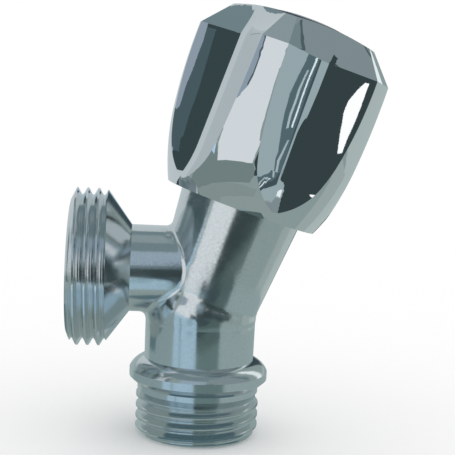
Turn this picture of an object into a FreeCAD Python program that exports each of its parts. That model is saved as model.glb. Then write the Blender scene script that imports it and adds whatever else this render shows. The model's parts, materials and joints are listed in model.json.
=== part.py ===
import FreeCAD, Part

import math
import os

from FreeCAD import Placement, Rotation, Vector

# Angle valve for a washing machine, in millimetres.
# The origin is the centre of the inlet's end face. The inlet axis is +Z, the outlet
# points along -X, and the headwork with its knob leans towards +X.

# Inlet: G1/2 male thread, screwed into the wall elbow
INLET_THREAD_D = 20.955
INLET_THREAD_LENGTH = 7.25
INLET_THREAD_DEPTH = 1.162
INLET_BORE_D = 12.5
INLET_BORE_DEPTH = 17.2
INLET_BORE_CONE = 1.5
INLET_LAND_D = 20.6
INLET_LAND_LENGTH = 1.35
RELIEF_WIDTH = 0.45
RELIEF_DEPTH = 0.9

# Collar above the inlet thread
COLLAR_D = 23.5
COLLAR_BEVEL = 1.3
COLLAR_RIM = 1.3
COLLAR_SHOULDER = 1.9
COLLAR_SHOULDER_BULGE = 0.25

# Upright barrel
BARREL_BOTTOM_D = 18.6
BARREL_TOP_D = 18.7

# Headwork axis and the boss that carries the headwork
HEAD_TILT = 17.8
HEAD_ORIGIN_Z = 20.7
BOSS_ROOT_D = 17.32
BOSS_MOUTH_D = 21.2
BOSS_LENGTH = 21.0
KNEE_PROUD = 0.1
KNEE_BLEND = 4.0
KNEE_DEPTH = 6.0
BARREL_TOP_DROP = 0.5
CHAMBER_D = 15.0
CHAMBER_FLOOR = 0.0
SEAT_BORE_D = 9.0
SEAT_BORE_REACH = 4.0
SEAT_D = 11.6
SEAT_HEIGHT = 1.2
HEAD_THREAD_D = 16.66
HEAD_THREAD_LENGTH = 8.0

# Outlet: G3/4 male thread for the hose nut
OUTLET_Z = 28.08
OUTLET_THREAD_D = 26.441
OUTLET_END = 22.4
OUTLET_CHAMFER = 1.8
OUTLET_CHAMFER_RUN = 0.85
OUTLET_MOUTH_D = 17.0
OUTLET_MOUTH_DEPTH = 7.0
OUTLET_BORE_D = 9.4
NECK_D = 14.66
NECK_LENGTH = 12.2
NECK_CONE_ANGLE = 54.0
NECK_BLEND = 1.2

# Headwork body, non-rising spindle type
HEAD_GASKET_WIDTH = 1.77
HEAD_GASKET_THICKNESS = 1.0
HEAD_FLANGE_THICKNESS = 1.6
HEAD_HEX = 17.0
HEAD_HEX_HEIGHT = 5.0
HEAD_NECK_D = 12.0
HEAD_NECK_HEIGHT = 4.4
HEAD_THREAD_CLEARANCE = 0.05
HEAD_THREAD_CHAMFER = 0.6
GUIDE_D = 14.7
GUIDE_BOTTOM = 8.6
GUIDE_HEX = 10.6
SEAL_BORE_D = 13.0
SEAL_BORE_SPARE = 0.4

# Spindle
SHANK_D = 8.0
RUNNING_FIT = 0.05
COLLAR_SPINDLE_D = 10.6
COLLAR_SPINDLE_HEIGHT = 2.0
COLLAR_CARRIER_GAP = 0.1
SLIP_WASHER_THICKNESS = 0.6
THREAD_STEM_D = 7.0
THREAD_STEM_BOTTOM = 11.6
THREAD_LEAD = 1.8
KNOB_TURNS = 3
O_RING_SECTION = 1.44
O_RING_GROOVE_WIDTH = 1.9
O_RING_BORE_GAP = 0.05
O_RING_LOWER_SHARE = 0.27
O_RING_UPPER_SHARE = 0.75
CIRCLIP_THICKNESS = 0.8
CIRCLIP_D = 11.0
CIRCLIP_GROOVE_D = 6.6
CIRCLIP_SPLINE_GAP = 0.6
SPLINE_D = 7.8
SPLINE_ROOT_D = 7.0
SPLINE_TEETH = 20
SPLINE_TOOTH_WIDTH = 0.6
SPLINE_LENGTH = 6.4

# Disc carrier with its seat washer
CARRIER_HEX_CLEARANCE = 0.1
CARRIER_PISTON_D = 12.8
CARRIER_PISTON_LENGTH = 6.1
CARRIER_HEX_LENGTH = 8.1
CARRIER_FLOOR = 1.7
CARRIER_THREAD_CLEARANCE = 0.05
CARRIER_PIN_D = 3.4
CARRIER_RING_SECTION = 1.5
CARRIER_RING_SIDE_GAP = 0.15
CARRIER_RING_LAND = 0.4
SEAT_WASHER_D = 12.4
SEAT_WASHER_THICKNESS = 3.0
SEAT_GAP = 0.1
WASHER_NUT_FLATS = 5.5
WASHER_NUT_HEIGHT = 1.6
WASHER_PLATE_D = 7.0
WASHER_PLATE_THICKNESS = 0.5

# Knob: a five-lobed bell with a bevelled roof
KNOB_RIM = 19.42
KNOB_RIM_D = 26.1
KNOB_WAIST = 30.6
KNOB_WAIST_D = 32.6
KNOB_LOWER_BULGE = 0.42
KNOB_SHOULDER = 45.8
KNOB_SHOULDER_D = 34.1
KNOB_UPPER_BULGE = 0.3
KNOB_TOP = 50.55
KNOB_TOP_LOBE_D = 25.8
KNOB_TOP_FLUTE_D = 22.0
KNOB_TOP_LOBE_SHARE = 0.57
KNOB_CROWN = 1.6
KNOB_ROOF_SPARE = 1.5
KNOB_LOBES = 5
KNOB_FLUTE_ANGLE = 57.2
KNOB_FLUTE_FACING = -73.9
FLUTE_VALLEY_TOP_D = 23.4
FLUTE_VALLEY_FOOT_D = 24.3
FLUTE_FOOT = 27.0
FLUTE_RUNOUT_R = 16.0
FLUTE_RUNOUT_TURN = 42.0
FLUTE_VALLEY_ROUND = 2.2
SKIRT_MOUTH_D = 22.4
SKIRT_MOUTH_LENGTH = 5.4
SKIRT_D = 20.8
SKIRT_ROOF = 47.3
HUB_D = 13.2
KNOB_RIB_THICKNESS = 1.4
KNOB_RIB_BOTTOM = 36.5
KNOB_FLOOR_THICKNESS = 2.0
INSERT_SQUARE = 9.4
INSERT_FLANGE_D = 11.8
INSERT_FLANGE_THICKNESS = 0.8
INSERT_CIRCLIP_GAP = 0.7
INSERT_ROOF = 1.2
SPLINE_CLEARANCE = 0.03
SCREW_D = 4.0
SCREW_LENGTH = 9.0
SCREW_HOLE_CLEARANCE = 0.2
SCREW_HOLE_SPARE = 1.0
SCREW_HEAD_D = 7.6
SCREW_HEAD_HEIGHT = 2.4
SCREW_SLOT_WIDTH = 1.1
SCREW_SLOT_DEPTH = 1.1
SCREW_WASHER_D = 8.6
SCREW_WASHER_THICKNESS = 0.8
CAP_D = 13.0
CAP_FLANGE_THICKNESS = 1.2
CAP_STEM_D = 10.2
CAP_STEM_WALL = 0.9
CAP_STEM_LENGTH = 1.6
CAP_PROUD = 0.15

# How far a cutting shape reaches past the metal that it cuts
CUT_SPARE = 1.0

# Places that follow from the sizes above, mostly heights along the headwork axis
LIFT = THREAD_LEAD * KNOB_TURNS
HEAD_GASKET_D = HEAD_THREAD_D + 2 * HEAD_GASKET_WIDTH
SEAT_TOP = CHAMBER_FLOOR + SEAT_HEIGHT
WASHER_BOTTOM = SEAT_TOP + SEAT_GAP
PISTON_BOTTOM = WASHER_BOTTOM + SEAT_WASHER_THICKNESS
PISTON_TOP = PISTON_BOTTOM + CARRIER_PISTON_LENGTH
CARRIER_TOP = PISTON_TOP + CARRIER_HEX_LENGTH
SEAL_BORE_TOP = PISTON_TOP + LIFT + SEAL_BORE_SPARE
GUIDE_TOP = CARRIER_TOP + LIFT + COLLAR_CARRIER_GAP
CARRIER_RING_MIDDLE = PISTON_TOP - CARRIER_RING_LAND - CARRIER_RING_SIDE_GAP - CARRIER_RING_SECTION / 2
FLANGE_BOTTOM = BOSS_LENGTH + HEAD_GASKET_THICKNESS
HEX_BOTTOM = FLANGE_BOTTOM + HEAD_FLANGE_THICKNESS
HEX_TOP = HEX_BOTTOM + HEAD_HEX_HEIGHT
HEAD_TOP = HEX_TOP + HEAD_NECK_HEIGHT
SPINDLE_COLLAR_BOTTOM = GUIDE_TOP + RUNNING_FIT
SPINDLE_COLLAR_TOP = SPINDLE_COLLAR_BOTTOM + COLLAR_SPINDLE_HEIGHT
SLIP_WASHER_TOP = SPINDLE_COLLAR_TOP + SLIP_WASHER_THICKNESS
CIRCLIP_BOTTOM = HEAD_TOP + RUNNING_FIT
CIRCLIP_TOP = CIRCLIP_BOTTOM + CIRCLIP_THICKNESS
SPLINE_BOTTOM = CIRCLIP_TOP + CIRCLIP_SPLINE_GAP
SPINDLE_TOP = SPLINE_BOTTOM + SPLINE_LENGTH
INSERT_BOTTOM = CIRCLIP_TOP + INSERT_CIRCLIP_GAP
HUB_BOTTOM = INSERT_BOTTOM + INSERT_FLANGE_THICKNESS
INSERT_TOP = SPINDLE_TOP + INSERT_ROOF
KNOB_FLOOR_TOP = INSERT_TOP + KNOB_FLOOR_THICKNESS
SCREW_HEAD_BOTTOM = KNOB_FLOOR_TOP + SCREW_WASHER_THICKNESS
SCREW_BOTTOM = SCREW_HEAD_BOTTOM - SCREW_LENGTH
CROWN_R = (KNOB_TOP_LOBE_D ** 2 / 4 + KNOB_CROWN ** 2) / (2 * KNOB_CROWN)
CROWN_TOP = KNOB_TOP + KNOB_CROWN
CAP_SEAT = CROWN_TOP - CROWN_R + math.sqrt(CROWN_R ** 2 - CAP_D ** 2 / 4) - CAP_FLANGE_THICKNESS

UP = Vector(0, 0, 1)
ORIGIN = Vector(0, 0, 0)
HEAD_PLACEMENT = Placement(Vector(0, 0, HEAD_ORIGIN_Z), Rotation(Vector(0, 1, 0), HEAD_TILT))
OUTLET_PLACEMENT = Placement(Vector(0, 0, OUTLET_Z), Rotation(Vector(0, 1, 0), -90))


def disc(diameter, bottom, top):
    """Solid cylinder on the Z axis between two heights."""
    return Part.makeCylinder(diameter / 2, top - bottom, Vector(0, 0, bottom))


def ring(outer, inner, bottom, top):
    """Tube on the Z axis between two heights."""
    return disc(outer, bottom, top).cut(disc(inner, bottom - 1, top + 1))


def prism(points, bottom, top):
    """Straight prism over a closed outline of (x, y) points."""
    corners = [Vector(x, y, bottom) for x, y in points]
    face = Part.Face(Part.makePolygon(corners + corners[:1]))
    return face.extrude(Vector(0, 0, top - bottom))


def polygon_points(sides, across_flats, turn=0.0):
    """Corners of a regular polygon given across its flats."""
    radius = across_flats / 2 / math.cos(math.pi / sides)
    angles = [turn + math.radians(360 / sides) * i for i in range(sides)]
    return [(radius * math.cos(a), radius * math.sin(a)) for a in angles]


def turned(points):
    """Solid of revolution about Z from a closed (radius, height) outline."""
    corners = [Vector(r, 0, z) for r, z in points]
    face = Part.Face(Part.makePolygon(corners + corners[:1]))
    return face.revolve(ORIGIN, UP, 360)


def torus_ring(centre_d, section, height):
    """O-ring at rest, round in section."""
    return Part.makeTorus(centre_d / 2, section / 2, Vector(0, 0, height))


def on_head(shape):
    """Move a piece drawn along Z from its own axis to the headwork axis."""
    shape.Placement = HEAD_PLACEMENT.multiply(shape.Placement)
    return shape


# Valve body: one brass forging, bored and threaded


def inlet_form():
    """Thread blank, relief, land, collar and lower barrel, turned about the inlet axis."""
    thread_r = INLET_THREAD_D / 2
    land_r = INLET_LAND_D / 2
    land_top = INLET_THREAD_LENGTH + INLET_LAND_LENGTH
    bevel_top = land_top + COLLAR_BEVEL
    rim_top = bevel_top + COLLAR_RIM
    shoulder_top = rim_top + COLLAR_SHOULDER
    barrel_r = BARREL_BOTTOM_D / 2
    outline = [
        (0, 0),
        (thread_r - INLET_THREAD_DEPTH, 0),
        (thread_r, INLET_THREAD_DEPTH),
        (thread_r, INLET_THREAD_LENGTH - RELIEF_WIDTH),
        (thread_r - RELIEF_DEPTH, INLET_THREAD_LENGTH - RELIEF_WIDTH / 2),
        (land_r, INLET_THREAD_LENGTH + RELIEF_WIDTH),
        (land_r, land_top),
        (COLLAR_D / 2, bevel_top),
        (COLLAR_D / 2, rim_top),
    ]
    edges = [Part.LineSegment(Vector(r0, 0, z0), Vector(r1, 0, z1)).toShape()
             for (r0, z0), (r1, z1) in zip(outline, outline[1:])]
    start = Vector(COLLAR_D / 2, 0, rim_top)
    end = Vector(barrel_r, 0, shoulder_top)
    rise = (start + end) * 0.5 + Vector(COLLAR_SHOULDER_BULGE, 0, COLLAR_SHOULDER_BULGE)
    edges.append(Part.Arc(start, rise, end).toShape())
    barrel_top = Vector(BARREL_TOP_D / 2, 0, HEAD_ORIGIN_Z - BARREL_TOP_DROP)
    top_centre = Vector(0, 0, barrel_top.z)
    edges.append(Part.LineSegment(end, barrel_top).toShape())
    edges.append(Part.LineSegment(barrel_top, top_centre).toShape())
    edges.append(Part.LineSegment(top_centre, ORIGIN).toShape())
    return Part.Face(Part.Wire(edges)).revolve(ORIGIN, UP, 360)


def boss_form():
    """Ball-shaped knee on the barrel and the headwork boss that widens from it to its mouth."""
    ball_r = BARREL_TOP_D / 2 + KNEE_PROUD
    slope = (BOSS_MOUTH_D - BOSS_ROOT_D) / 2 / BOSS_LENGTH
    lean = math.atan(slope)
    foot = Vector(math.sqrt(ball_r ** 2 - KNEE_DEPTH ** 2), 0, -KNEE_DEPTH)
    mouth = Vector(BOSS_MOUTH_D / 2, 0, BOSS_LENGTH)
    # The hollow blend between ball and cone is centred one blend radius away from both
    root = BOSS_ROOT_D / 2 + KNEE_BLEND / math.cos(lean)
    spread = (slope * root) ** 2 - (1 + slope ** 2) * (root ** 2 - (ball_r + KNEE_BLEND) ** 2)
    height = (math.sqrt(spread) - slope * root) / (1 + slope ** 2)
    centre = Vector(root + slope * height, 0, height)
    to_ball = Vector(-centre.x, 0, -centre.z).normalize()
    to_cone = Vector(-math.cos(lean), 0, math.sin(lean))
    on_ball = centre + to_ball * KNEE_BLEND
    on_cone = centre + to_cone * KNEE_BLEND
    middle = centre + (to_ball + to_cone).normalize() * KNEE_BLEND
    ball_middle = (foot + on_ball).normalize() * ball_r
    axis_foot = Vector(0, 0, foot.z)
    axis_top = Vector(0, 0, mouth.z)
    edges = [
        Part.LineSegment(axis_foot, foot).toShape(),
        Part.Arc(foot, ball_middle, on_ball).toShape(),
        Part.Arc(on_ball, middle, on_cone).toShape(),
        Part.LineSegment(on_cone, mouth).toShape(),
        Part.LineSegment(mouth, axis_top).toShape(),
        Part.LineSegment(axis_top, axis_foot).toShape(),
    ]
    return on_head(Part.Face(Part.Wire(edges)).revolve(ORIGIN, UP, 360))


def outlet_form():
    """Neck, cone and thread blank of the outlet, turned about the outlet axis."""
    cone_rise = (OUTLET_THREAD_D - NECK_D) / 2
    cone_end = NECK_LENGTH + cone_rise / math.tan(math.radians(NECK_CONE_ANGLE))
    solid = turned([
        (0, 0),
        (NECK_D / 2, 0),
        (NECK_D / 2, NECK_LENGTH),
        (OUTLET_THREAD_D / 2, cone_end),
        (OUTLET_THREAD_D / 2, OUTLET_END - OUTLET_CHAMFER_RUN),
        (OUTLET_THREAD_D / 2 - OUTLET_CHAMFER, OUTLET_END),
        (0, OUTLET_END),
    ])
    solid.Placement = OUTLET_PLACEMENT
    return solid


def body_waterways():
    """Inlet bore, seat bore, headwork chamber with its thread, and the outlet bore."""
    inlet = disc(INLET_BORE_D, -1, INLET_BORE_DEPTH)
    cone_foot = Vector(0, 0, INLET_BORE_DEPTH)
    cone = Part.makeCone(INLET_BORE_D / 2, SEAT_BORE_D / 2, INLET_BORE_CONE, cone_foot)
    seat_bore = on_head(disc(SEAT_BORE_D, -SEAT_BORE_REACH, SEAT_TOP + 1))
    chamber = disc(CHAMBER_D, CHAMBER_FLOOR, BOSS_LENGTH + 1)
    chamber = chamber.cut(ring(SEAT_D, SEAT_BORE_D - 1, CHAMBER_FLOOR - 1, SEAT_TOP))
    thread = disc(HEAD_THREAD_D, BOSS_LENGTH - HEAD_THREAD_LENGTH, BOSS_LENGTH + 1)
    outlet = turned([
        (0, CHAMBER_D / 4),
        (OUTLET_BORE_D / 2, CHAMBER_D / 4),
        (OUTLET_BORE_D / 2, OUTLET_END - OUTLET_MOUTH_DEPTH - (OUTLET_MOUTH_D - OUTLET_BORE_D) / 4),
        (OUTLET_MOUTH_D / 2, OUTLET_END - OUTLET_MOUTH_DEPTH),
        (OUTLET_MOUTH_D / 2, OUTLET_END + 1),
        (0, OUTLET_END + 1),
    ])
    outlet.Placement = OUTLET_PLACEMENT
    return inlet.multiFuse([cone, seat_bore, on_head(chamber), on_head(thread), outlet])


def is_neck_root(edge):
    """True for the edges where the outlet's neck runs into the barrel and the boss."""
    span = edge.LastParameter - edge.FirstParameter
    points = [edge.valueAt(edge.FirstParameter + span * share) for share in (0.0, 0.25, 0.5, 0.75, 1.0)]
    on_neck = all(abs(math.hypot(p.y, p.z - OUTLET_Z) - NECK_D / 2) < 0.01 for p in points)
    return on_neck and all(p.x > 1 - NECK_LENGTH for p in points)


def valve_body():
    casting = inlet_form().multiFuse([boss_form(), outlet_form()]).removeSplitter()
    casting = casting.makeFillet(NECK_BLEND, [edge for edge in casting.Edges if is_neck_root(edge)])
    return casting.cut(body_waterways())


# Headwork: the screwed-in bonnet and what turns or slides in it


def headwork_body():
    thread_r = HEAD_THREAD_D / 2 - HEAD_THREAD_CLEARANCE
    blank = turned([
        (0, GUIDE_BOTTOM),
        (GUIDE_D / 2, GUIDE_BOTTOM),
        (GUIDE_D / 2, BOSS_LENGTH - HEAD_THREAD_LENGTH),
        (thread_r, BOSS_LENGTH - HEAD_THREAD_LENGTH + HEAD_THREAD_CHAMFER),
        (thread_r, FLANGE_BOTTOM),
        (HEAD_GASKET_D / 2, FLANGE_BOTTOM),
        (HEAD_GASKET_D / 2, HEX_BOTTOM),
        (HEAD_NECK_D / 2, HEX_BOTTOM),
        (HEAD_NECK_D / 2, HEAD_TOP),
        (0, HEAD_TOP),
    ])
    blank = blank.fuse(prism(polygon_points(6, HEAD_HEX), HEX_BOTTOM, HEX_TOP))
    guide = prism(polygon_points(6, GUIDE_HEX), GUIDE_BOTTOM - 1, GUIDE_TOP)
    seal_bore = disc(SEAL_BORE_D, GUIDE_BOTTOM - 1, SEAL_BORE_TOP)
    collar_room = disc(COLLAR_SPINDLE_D + 2 * RUNNING_FIT, GUIDE_TOP, SLIP_WASHER_TOP + RUNNING_FIT)
    shank_bore = disc(SHANK_D + 2 * RUNNING_FIT, SLIP_WASHER_TOP - 1, HEAD_TOP + 1)
    return blank.cut(guide.multiFuse([seal_bore, collar_room, shank_bore]))


def headwork_gasket():
    return ring(HEAD_GASKET_D, HEAD_THREAD_D, BOSS_LENGTH, FLANGE_BOTTOM)


def o_ring_heights():
    """Middle of the two spindle O-rings in the shank bore."""
    span = HEAD_TOP - SLIP_WASHER_TOP
    return [SLIP_WASHER_TOP + span * share for share in (O_RING_LOWER_SHARE, O_RING_UPPER_SHARE)]


def splined(bottom, top, growth=0.0):
    """Round bar with fine straight splines, grown outwards by a clearance."""
    root = SPLINE_ROOT_D / 2 + growth
    tip = SPLINE_D / 2 + growth
    foot = SPLINE_TOOTH_WIDTH / 2 + growth
    crest = foot / 2
    tooth = prism([(root - 0.2, -foot), (tip, -crest), (tip, crest), (root - 0.2, foot)], bottom, top)
    pitch = 360 / SPLINE_TEETH
    teeth = [tooth.rotated(ORIGIN, UP, pitch * i) for i in range(SPLINE_TEETH)]
    return disc(2 * root, bottom, top).multiFuse(teeth)


def spindle():
    bar = disc(THREAD_STEM_D, THREAD_STEM_BOTTOM, SPINDLE_COLLAR_BOTTOM)
    bar = bar.multiFuse([
        disc(COLLAR_SPINDLE_D, SPINDLE_COLLAR_BOTTOM, SPINDLE_COLLAR_TOP),
        disc(SHANK_D, SPINDLE_COLLAR_TOP, SPLINE_BOTTOM),
        splined(SPLINE_BOTTOM, SPINDLE_TOP),
    ])
    groove_root = SHANK_D + 2 * RUNNING_FIT - 4 * O_RING_BORE_GAP - 2 * O_RING_SECTION
    cuts = [
        ring(SHANK_D + 2 * CUT_SPARE, CIRCLIP_GROOVE_D, CIRCLIP_BOTTOM, CIRCLIP_TOP),
        disc(SCREW_D, SCREW_BOTTOM - SCREW_HOLE_SPARE, SPINDLE_TOP + 1),
    ]
    for height in o_ring_heights():
        low = height - O_RING_GROOVE_WIDTH / 2
        cuts.append(ring(SHANK_D + 2 * CUT_SPARE, groove_root, low, low + O_RING_GROOVE_WIDTH))
    return bar.cut(cuts[0].multiFuse(cuts[1:]))


def spindle_o_ring(height):
    centre_d = SHANK_D + 2 * RUNNING_FIT - 2 * O_RING_BORE_GAP - O_RING_SECTION
    return torus_ring(centre_d, O_RING_SECTION, height)


def slip_washer():
    return ring(COLLAR_SPINDLE_D, SHANK_D + 2 * RUNNING_FIT, SPINDLE_COLLAR_TOP, SLIP_WASHER_TOP)


def circlip():
    """Snap ring with its open ends."""
    shape = ring(CIRCLIP_D, CIRCLIP_GROOVE_D, CIRCLIP_BOTTOM, CIRCLIP_TOP)
    corner = Vector(0, -CIRCLIP_GROOVE_D / 4, CIRCLIP_BOTTOM - CUT_SPARE)
    gap = Part.makeBox(CIRCLIP_D, CIRCLIP_GROOVE_D / 2, CIRCLIP_THICKNESS + 2 * CUT_SPARE, corner)
    return shape.cut(gap)


def disc_carrier():
    """Sliding nut: a hexagon that can't turn in its guide, on a piston that holds the washer."""
    hexagon = prism(polygon_points(6, GUIDE_HEX - 2 * CARRIER_HEX_CLEARANCE), PISTON_TOP, CARRIER_TOP)
    piston = disc(CARRIER_PISTON_D, PISTON_BOTTOM, PISTON_TOP)
    pin = disc(CARRIER_PIN_D, WASHER_BOTTOM - WASHER_PLATE_THICKNESS - WASHER_NUT_HEIGHT, PISTON_BOTTOM)
    thread = disc(THREAD_STEM_D + 2 * CARRIER_THREAD_CLEARANCE, PISTON_BOTTOM + CARRIER_FLOOR, CARRIER_TOP + 1)
    half_groove = CARRIER_RING_SECTION / 2 + CARRIER_RING_SIDE_GAP
    root_d = SEAL_BORE_D - 4 * O_RING_BORE_GAP - 2 * CARRIER_RING_SECTION
    groove_top = CARRIER_RING_MIDDLE + half_groove
    groove = ring(CARRIER_PISTON_D + 2 * CUT_SPARE, root_d, CARRIER_RING_MIDDLE - half_groove, groove_top)
    return hexagon.multiFuse([piston, pin]).cut(thread.fuse(groove))


def carrier_o_ring():
    """Seal that keeps the grease in and the water out of the spindle thread."""
    centre_d = SEAL_BORE_D - 2 * O_RING_BORE_GAP - CARRIER_RING_SECTION
    return torus_ring(centre_d, CARRIER_RING_SECTION, CARRIER_RING_MIDDLE)


def seat_washer():
    return ring(SEAT_WASHER_D, CARRIER_PIN_D, WASHER_BOTTOM, PISTON_BOTTOM)


def washer_plate():
    return ring(WASHER_PLATE_D, CARRIER_PIN_D, WASHER_BOTTOM - WASHER_PLATE_THICKNESS, WASHER_BOTTOM)


def washer_nut():
    top = WASHER_BOTTOM - WASHER_PLATE_THICKNESS
    nut = prism(polygon_points(6, WASHER_NUT_FLATS), top - WASHER_NUT_HEIGHT, top)
    return nut.cut(disc(CARRIER_PIN_D, top - WASHER_NUT_HEIGHT - 1, top + 1))


# Knob and what fastens it


def knob_bell():
    """Barrel-shaped blank from rim to shoulder."""
    rim = Vector(KNOB_RIM_D / 2, 0, KNOB_RIM)
    waist = Vector(KNOB_WAIST_D / 2, 0, KNOB_WAIST)
    shoulder = Vector(KNOB_SHOULDER_D / 2, 0, KNOB_SHOULDER)
    lower_mid = (rim + waist) * 0.5 + Vector(KNOB_LOWER_BULGE, 0, 0)
    upper_mid = (waist + shoulder) * 0.5 + Vector(KNOB_UPPER_BULGE, 0, 0)
    axis_top = Vector(0, 0, KNOB_SHOULDER)
    axis_bottom = Vector(0, 0, KNOB_RIM)
    edges = [
        Part.Arc(rim, lower_mid, waist).toShape(),
        Part.Arc(waist, upper_mid, shoulder).toShape(),
        Part.LineSegment(shoulder, axis_top).toShape(),
        Part.LineSegment(axis_top, axis_bottom).toShape(),
        Part.LineSegment(axis_bottom, rim).toShape(),
    ]
    return Part.Face(Part.Wire(edges)).revolve(ORIGIN, UP, 360)


def flute_cutter():
    """V-shaped groove with a round valley, pushed along the knob's side and lifting out near its rim."""
    half_angle = math.radians(KNOB_FLUTE_ANGLE / 2)
    ridge_r = KNOB_SHOULDER_D / 2
    slope = (ridge_r * math.cos(half_angle) - FLUTE_VALLEY_TOP_D / 2) / (ridge_r * math.sin(half_angle))
    top = Vector(FLUTE_VALLEY_TOP_D / 2, 0, KNOB_SHOULDER)
    foot = Vector(FLUTE_VALLEY_FOOT_D / 2, 0, FLUTE_FOOT)
    down = (foot - top).normalize()
    out = Vector(-down.z, 0, down.x)
    centre = foot + out * FLUTE_RUNOUT_R

    def runout(turn):
        angle = math.radians(turn)
        return centre - out * FLUTE_RUNOUT_R * math.cos(angle) + down * FLUTE_RUNOUT_R * math.sin(angle)

    end = runout(FLUTE_RUNOUT_TURN)
    reach = 2 * ridge_r
    low_corner = Vector(reach, 0, end.z)
    high_corner = Vector(reach, 0, top.z)
    outline = [
        Part.LineSegment(top, foot).toShape(),
        Part.Arc(foot, runout(FLUTE_RUNOUT_TURN / 2), end).toShape(),
        Part.LineSegment(end, low_corner).toShape(),
        Part.LineSegment(low_corner, high_corner).toShape(),
        Part.LineSegment(high_corner, top).toShape(),
    ]
    face = Part.Face(Part.Wire(outline))
    walls = [face.extrude(Vector(slope * ridge_r, side * ridge_r, 0)) for side in (-1, 1)]
    cutter = walls[0].fuse(walls[1]).removeSplitter()
    valley = [edge for edge in cutter.Edges if is_valley(edge, end.x)]
    return cutter.makeFillet(FLUTE_VALLEY_ROUND, valley)


def is_valley(edge, furthest):
    """True for the cutter's edges in its middle plane, from the shoulder to the run-out's end."""
    ends = [vertex.Point for vertex in edge.Vertexes]
    in_middle = all(abs(point.y) < 1e-6 and point.x < furthest + 1e-6 for point in ends)
    return in_middle and abs(ends[0].z - ends[-1].z) > 1


def flute_directions():
    """Middle direction of each flute about the knob's axis, in degrees."""
    return [KNOB_FLUTE_FACING + 360 / KNOB_LOBES * i for i in range(KNOB_LOBES)]


def top_corner(point):
    """Corner of the top face above a corner of the fluted shoulder outline."""
    pitch = math.radians(360 / KNOB_LOBES)
    radius = math.hypot(point.x, point.y)
    from_flute = math.atan2(point.y, point.x) - math.radians(KNOB_FLUTE_FACING)
    flute = round(from_flute / pitch) * pitch
    offset = from_flute - flute
    if radius > 0.99 * KNOB_SHOULDER_D / 2:
        half = math.copysign(pitch / 2, offset)
        offset = half + (offset - half) * KNOB_TOP_LOBE_SHARE
        radius = KNOB_TOP_LOBE_D / 2
        along, across = radius * math.cos(offset), radius * math.sin(offset)
    else:
        along, across = KNOB_TOP_FLUTE_D / 2, radius * math.sin(offset)
    facing = flute + math.radians(KNOB_FLUTE_FACING)
    return Vector(along * math.cos(facing) - across * math.sin(facing),
                  along * math.sin(facing) + across * math.cos(facing), KNOB_TOP)


def crown_ball(proud=0.0):
    """Ball whose upper side is the knob's crowned top."""
    return Part.makeSphere(CROWN_R + proud, Vector(0, 0, CROWN_TOP - CROWN_R))


def knob_roof(bell):
    """Bevelled roof from the fluted shoulder outline up to the crowned top."""
    shoulder = max(bell.Faces, key=lambda face: face.CenterOfMass.z)
    reach = (KNOB_TOP + KNOB_ROOF_SPARE - KNOB_SHOULDER) / (KNOB_TOP - KNOB_SHOULDER)
    corners = []
    for vertex in shoulder.OuterWire.OrderedVertexes:
        corners.append(vertex.Point + (top_corner(vertex.Point) - vertex.Point) * reach)
    top = Part.makePolygon(corners + corners[:1])
    return Part.makeLoft([shoulder.OuterWire, top], True, True).common(crown_ball())


def square_points(side):
    return [(x * side / 2, y * side / 2) for x, y in ((-1, -1), (1, -1), (1, 1), (-1, 1))]


def knob_hollow():
    """Room inside the skirt, left round a hub and its ribs."""
    mouth = disc(SKIRT_MOUTH_D, KNOB_RIM - 1, KNOB_RIM + SKIRT_MOUTH_LENGTH)
    room = disc(SKIRT_D, KNOB_RIM - 1, SKIRT_ROOF)
    hub = disc(HUB_D, HUB_BOTTOM, SKIRT_ROOF + 1)
    rib = Part.makeBox(SKIRT_D, KNOB_RIB_THICKNESS, SKIRT_ROOF - KNOB_RIB_BOTTOM + 1,
                       Vector(0, -KNOB_RIB_THICKNESS / 2, KNOB_RIB_BOTTOM))
    half_pitch = 180 / KNOB_LOBES
    ribs = [rib.rotated(ORIGIN, UP, angle + half_pitch) for angle in flute_directions()]
    return mouth.fuse(room).cut(hub.multiFuse(ribs))


def knob():
    bell = knob_bell()
    cutter = flute_cutter()
    flutes = [cutter.rotated(ORIGIN, UP, angle) for angle in flute_directions()]
    bell = bell.cut(flutes[0].multiFuse(flutes[1:]))
    shell = bell.fuse(knob_roof(bell)).removeSplitter()
    insert_pocket = prism(square_points(INSERT_SQUARE), HUB_BOTTOM - 1, INSERT_TOP)
    screw_hole = disc(SCREW_D + 2 * SCREW_HOLE_CLEARANCE, INSERT_TOP - 1, KNOB_FLOOR_TOP + 1)
    screw_well = disc(CAP_STEM_D, KNOB_FLOOR_TOP, CROWN_TOP + 1)
    cap_recess = disc(CAP_D, CAP_SEAT, CROWN_TOP + 1)
    return shell.cut(knob_hollow().multiFuse([insert_pocket, screw_hole, screw_well, cap_recess]))


def knob_insert():
    """Moulded sleeve that joins the splined spindle to the square hole of the knob."""
    flange = disc(INSERT_FLANGE_D, INSERT_BOTTOM, HUB_BOTTOM)
    square = prism(square_points(INSERT_SQUARE), HUB_BOTTOM, INSERT_TOP)
    socket = splined(INSERT_BOTTOM - 1, SPINDLE_TOP, SPLINE_CLEARANCE)
    screw_hole = disc(SCREW_D + 2 * SCREW_HOLE_CLEARANCE, SPINDLE_TOP - 1, INSERT_TOP + 1)
    return flange.fuse(square).cut(socket.fuse(screw_hole))


def knob_screw_washer():
    return ring(SCREW_WASHER_D, SCREW_D + 2 * SCREW_HOLE_CLEARANCE, KNOB_FLOOR_TOP, SCREW_HEAD_BOTTOM)


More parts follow.
